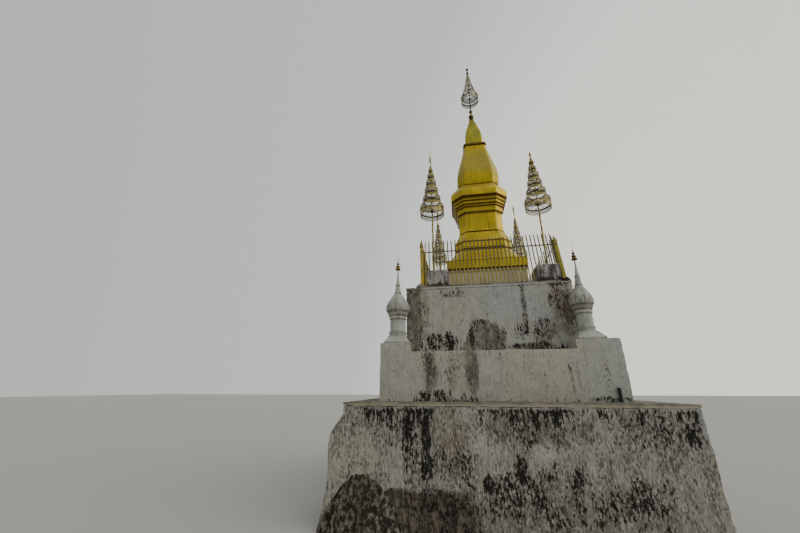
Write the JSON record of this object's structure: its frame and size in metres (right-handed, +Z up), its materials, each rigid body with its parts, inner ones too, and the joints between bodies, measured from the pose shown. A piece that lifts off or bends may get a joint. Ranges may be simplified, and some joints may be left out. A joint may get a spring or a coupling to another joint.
{
  "type": "stupa",
  "caption": "Hilltop stupa: three stepped plastered tiers, corner stupas, an iron fence, openwork parasols and a gilded tower with a parasol tip.",
  "frame": {"origin": "on the vertical axis of the gilded tower, at the lowest ground the base walls reach", "axes": "+Z up, -Y towards the front of the stupa, +X to the right seen from the front"},
  "size_m": [9.442, 9.892, 20.47],
  "materials": {
    "plaster": "old whitewashed lime plaster, stained black by mould",
    "whitewash": "newer whitewash on plaster",
    "rubble": "bare mossy rubble masonry",
    "grey_stone": "weathered grey cement and stone",
    "dark_pipe": "dark drain pipe",
    "yellow_paint": "yellow gloss paint on iron, worn",
    "gold_paint": "gold paint on smooth render",
    "gilt_bronze": "dull gilt metal"
  },
  "bodies": {
    "root": {"base_tier": "plaster", "base_coping": "plaster", "side_apron": "plaster", "second_tier": "plaster", "third_tier": "plaster", "third_tier_cap": "plaster", "corner_block_front_left": "plaster", "corner_block_front_right": "plaster", "corner_block_back_left": "plaster", "corner_block_back_right": "plaster", "rubble_patch": "rubble", "kerb": "grey_stone", "drain_pipe": "dark_pipe", "tower_plinth": "whitewash", "parasol_block_front_left": "grey_stone", "corner_parasol_front_left": "gilt_bronze", "small_stupa_front_left": "whitewash", "small_finial_front_left": "gilt_bronze", "parasol_block_front_right": "grey_stone", "corner_parasol_front_right": "gilt_bronze", "small_stupa_front_right": "whitewash", "small_finial_front_right": "gilt_bronze", "parasol_block_back_left": "grey_stone", "corner_parasol_back_left": "gilt_bronze", "small_stupa_back_left": "whitewash", "small_finial_back_left": "gilt_bronze", "parasol_block_back_right": "grey_stone", "corner_parasol_back_right": "gilt_bronze", "small_stupa_back_right": "whitewash", "small_finial_back_right": "gilt_bronze", "fence_front": "yellow_paint", "fence_right": "yellow_paint", "fence_back": "yellow_paint", "fence_left": "yellow_paint", "tower_base_band": "gold_paint", "lower_skirt": "gold_paint", "tower_step": "gold_paint", "upper_skirt": "gold_paint", "shaft": "gold_paint", "shaft_cornice": "gold_paint", "crown": "gold_paint", "lower_bulb": "gold_paint", "bulb_ring": "gold_paint", "upper_bud": "gold_paint", "tower_balls": "gold_paint", "tip_parasol": "gilt_bronze"}
  },
  "joints": []
}
